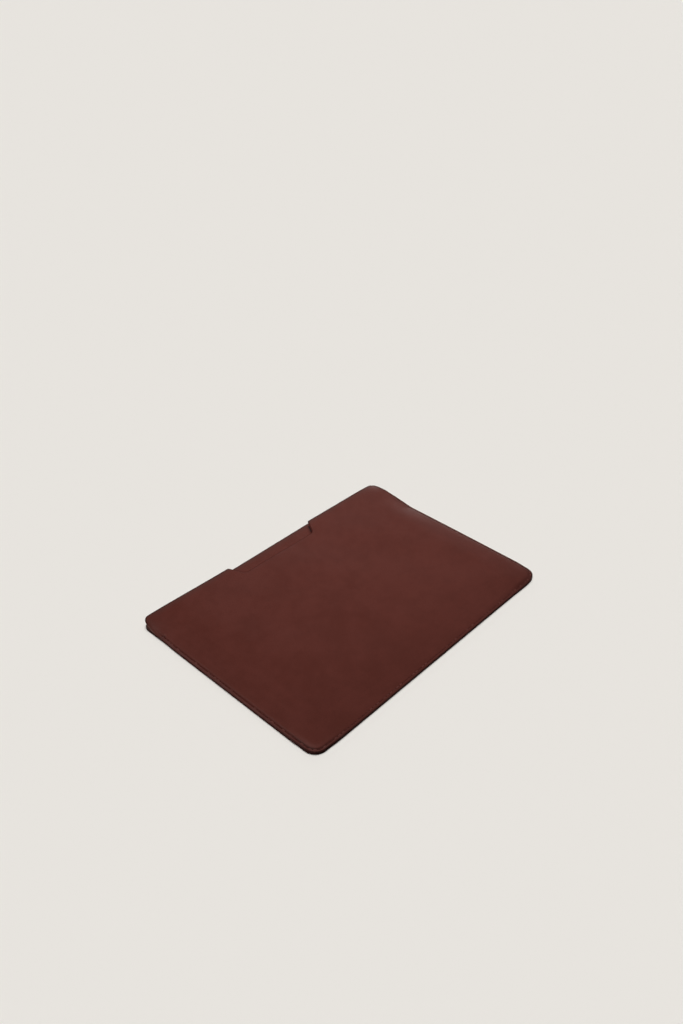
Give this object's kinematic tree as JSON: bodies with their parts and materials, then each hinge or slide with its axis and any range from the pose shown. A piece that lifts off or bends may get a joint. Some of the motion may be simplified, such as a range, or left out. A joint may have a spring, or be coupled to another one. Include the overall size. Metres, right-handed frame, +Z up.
{
  "type": "leather laptop sleeve",
  "caption": "Flat leather sleeve for a slim laptop: two panels stitched on three sides, open along one long side, with a finger notch in the front panel.",
  "frame": {"origin": "middle of the back panel's underside, on the table", "axes": "+X along the long sides, +Y towards the open mouth, +Z up from the table through both panels"},
  "size_m": [0.34, 0.245, 0.0097],
  "materials": {
    "front_leather": "smooth oxblood leather, semi-matt, with burnished edges",
    "back_leather": "smooth oxblood leather, semi-matt, with burnished edges",
    "seam_thread": "waxed thread in the leather's own colour"
  },
  "bodies": {
    "root": {"back_panel": "back_leather", "front_panel": "front_leather"}
  },
  "joints": []
}
